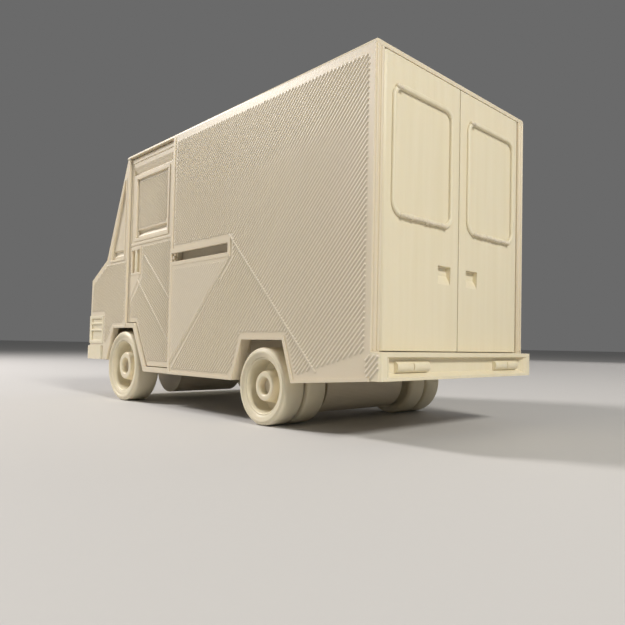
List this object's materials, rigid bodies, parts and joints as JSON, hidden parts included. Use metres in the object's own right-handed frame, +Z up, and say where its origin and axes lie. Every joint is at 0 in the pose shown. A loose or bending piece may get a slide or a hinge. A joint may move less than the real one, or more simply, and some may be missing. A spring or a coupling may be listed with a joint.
{
  "type": "mail delivery truck",
  "caption": "Ivory plastic scale model of a mail step van: box cargo body, sliding cab doors, double rear doors, dual rear wheels and a sloped short nose.",
  "frame": {"origin": "on the ground plane, under the middle of the overall length and width", "axes": "+X forward, +Y to the truck's left, +Z up"},
  "size_m": [0.0784, 0.0312, 0.043],
  "materials": {
    "shell": "printed, fine layer lines, satin",
    "rear_doors": "printed, fine layer lines, satin",
    "cab_doors": "printed, fine layer lines, satin",
    "panes": "printed, fine layer lines, satin",
    "wheels": "printed, fine layer lines, satin",
    "chassis": "printed, fine layer lines, satin",
    "pins": "printed, fine layer lines, satin",
    "trim": "printed, fine layer lines, satin"
  },
  "bodies": {
    "truck": {"axle_caps": "pins", "cab_floor": "chassis", "cab_front": "shell", "cab_side_left": "shell", "cab_side_right": "shell", "cargo_floor": "chassis", "cargo_side_left": "shell", "cargo_side_right": "shell", "door_sill_left": "trim", "door_sill_right": "trim", "entry_step_left": "chassis", "entry_step_right": "chassis", "frame_rail_left": "chassis", "frame_rail_right": "chassis", "front_axle": "chassis", "front_axle_housing": "chassis", "front_bumper": "trim", "grille": "trim", "headlamp_left": "trim", "headlamp_right": "trim", "hinge_pins": "pins", "pocket_liner_left": "chassis", "pocket_liner_right": "chassis", "quarter_pane_left": "panes", "quarter_pane_right": "panes", "rear_axle": "chassis", "rear_axle_housing": "chassis", "rear_bumper": "trim", "rear_sill": "chassis", "roof_panel": "panes", "tail_lamp_left": "trim", "tail_lamp_right": "trim", "windshield_pane": "panes"},
    "rear_door_left_body": {"rear_door_left": "rear_doors", "rear_window_pane_left": "panes", "rear_window_seal_left": "trim"},
    "cab_door_left_body": {"cab_door_left": "cab_doors", "cab_door_pane_left": "panes", "cab_door_handle_left": "trim", "guide_pin_left": "pins"},
    "front_wheel_left": {"front_tyre_left": "wheels", "front_rim_left": "wheels"},
    "rear_wheels_left": {"rear_outer_tyre_left": "wheels", "rear_inner_tyre_left": "wheels", "rear_rim_left": "wheels"},
    "rear_door_right_body": {"rear_door_right": "rear_doors", "rear_window_pane_right": "panes", "rear_window_seal_right": "trim"},
    "cab_door_right_body": {"cab_door_right": "cab_doors", "cab_door_pane_right": "panes", "cab_door_handle_right": "trim", "guide_pin_right": "pins"},
    "front_wheel_right": {"front_tyre_right": "wheels", "front_rim_right": "wheels"},
    "rear_wheels_right": {"rear_outer_tyre_right": "wheels", "rear_inner_tyre_right": "wheels", "rear_rim_right": "wheels"}
  },
  "joints": [
    {"name": "rear_door_left_hinge", "type": "hinge", "parent": "truck", "child": "rear_door_left_body", "pos_m": [-0.03723, 0.01354, 0.026], "axis": [0, 0, -1], "range_deg": [0, 90]},
    {"name": "cab_door_left_slide", "type": "slide", "parent": "truck", "child": "cab_door_left_body", "axis": [-1, 0, 0], "range_m": [0, 0.015]},
    {"name": "front_wheel_left_spin", "type": "hinge", "parent": "truck", "child": "front_wheel_left", "pos_m": [0.02268, 0.0133, 0.00605], "axis": [0, 1, 0], "continuous": true},
    {"name": "rear_wheels_left_spin", "type": "hinge", "parent": "truck", "child": "rear_wheels_left", "pos_m": [-0.01862, 0.012, 0.00495], "axis": [0, 1, 0], "continuous": true},
    {"name": "rear_door_right_hinge", "type": "hinge", "parent": "truck", "child": "rear_door_right_body", "pos_m": [-0.03723, -0.01354, 0.026], "axis": [0, 0, 1], "range_deg": [0, 90]},
    {"name": "cab_door_right_slide", "type": "slide", "parent": "truck", "child": "cab_door_right_body", "axis": [-1, 0, 0], "range_m": [0, 0.015]},
    {"name": "front_wheel_right_spin", "type": "hinge", "parent": "truck", "child": "front_wheel_right", "pos_m": [0.02268, -0.0133, 0.00605], "axis": [0, 1, 0], "continuous": true},
    {"name": "rear_wheels_right_spin", "type": "hinge", "parent": "truck", "child": "rear_wheels_right", "pos_m": [-0.01862, -0.012, 0.00495], "axis": [0, 1, 0], "continuous": true}
  ]
}
